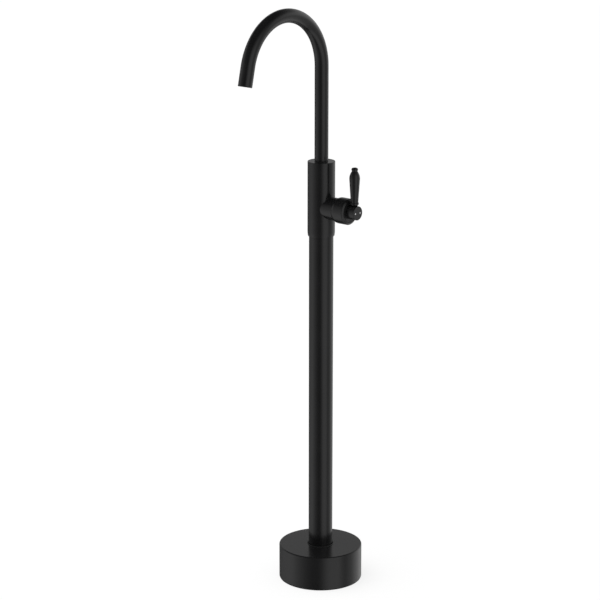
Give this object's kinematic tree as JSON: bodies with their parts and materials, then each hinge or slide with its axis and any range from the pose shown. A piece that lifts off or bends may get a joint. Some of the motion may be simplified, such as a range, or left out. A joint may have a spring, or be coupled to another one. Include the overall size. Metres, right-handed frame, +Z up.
{
  "type": "floor standing bath filler",
  "caption": "Floor standing bath filler: round base cover, slim column, mixer body with a side lever handle, and a tall swivelling swan neck spout.",
  "frame": {"origin": "on the floor, at the centre of the column and of the anchor holes' circle", "axes": "+Z up along the column; the spout reaches towards -Y; the handle stands out towards +X"},
  "size_m": [0.1643, 0.2948, 1.0845],
  "materials": {
    "matte_black": "satin matte black powder coat",
    "black_rubber": "matte rubber",
    "steel": "machined",
    "brass": "machined",
    "ceramic": "lapped",
    "pale_plastic": "moulded",
    "dark_plastic": "moulded",
    "index_grey": "inlaid"
  },
  "bodies": {
    "stand": {"floor_flange": "steel", "column_clamp_screws": "steel", "inlet_manifold": "brass", "manifold_circlip": "steel", "check_valves": "brass", "hot_riser_tube": "steel", "cold_riser_tube": "steel", "riser_seals": "black_rubber", "riser_spacers": "pale_plastic", "column_tube": "matte_black", "column_adaptor": "brass", "mixer_body": "matte_black", "body_lock_screw": "steel", "spout_retaining_screw": "steel", "spout_bush": "pale_plastic", "cartridge_base": "pale_plastic", "cartridge_seals": "black_rubber", "fixed_disc": "ceramic", "cartridge_housing": "pale_plastic", "cartridge_nut": "brass", "cap_ring": "matte_black"},
    "cover": {"base_cover": "matte_black", "cover_collar_seal": "black_rubber", "cover_foot_ring": "black_rubber"},
    "spout": {"spout_tube": "matte_black", "spout_nipple": "brass", "spout_seals": "black_rubber", "glide_ring": "dark_plastic", "outlet_housing": "dark_plastic", "flow_straightener": "dark_plastic", "outlet_seal": "black_rubber"},
    "turret": {"cartridge_turret": "pale_plastic", "pivot_pin": "steel"},
    "disc": {"moving_disc": "ceramic", "disc_carrier": "pale_plastic"},
    "handle": {"handle_dome": "matte_black", "control_stem": "steel", "handle_hub": "matte_black", "hub_screw": "steel", "lever": "matte_black", "lever_stud": "steel", "index_dot_hot": "index_grey", "index_dot_cold": "index_grey"}
  },
  "joints": [
    {"name": "cover_lift", "type": "slide", "parent": "stand", "child": "cover", "axis": [0, 0, 1], "range_m": [0, 0.59]},
    {"name": "spout_swivel", "type": "hinge", "parent": "stand", "child": "spout", "pos_m": [0, 0, 0.8], "axis": [0, 0, 1], "continuous": true},
    {"name": "temperature_turn", "type": "hinge", "parent": "stand", "child": "turret", "pos_m": [0.056, 0, 0.7156], "axis": [1, 0, 0], "range_deg": [-45, 45]},
    {"name": "flow_tilt", "type": "hinge", "parent": "turret", "child": "handle", "pos_m": [0.056, 0, 0.7156], "axis": [0, 1, 0], "range_deg": [0, 20]},
    {"name": "disc_slide", "type": "slide", "parent": "turret", "child": "disc", "axis": [0, 0, 1], "range_m": [0, 0.0049]}
  ],
  "couplings": [
    {"joint": "disc_slide", "follows": "flow_tilt", "m_per_rad": 0.014}
  ]
}
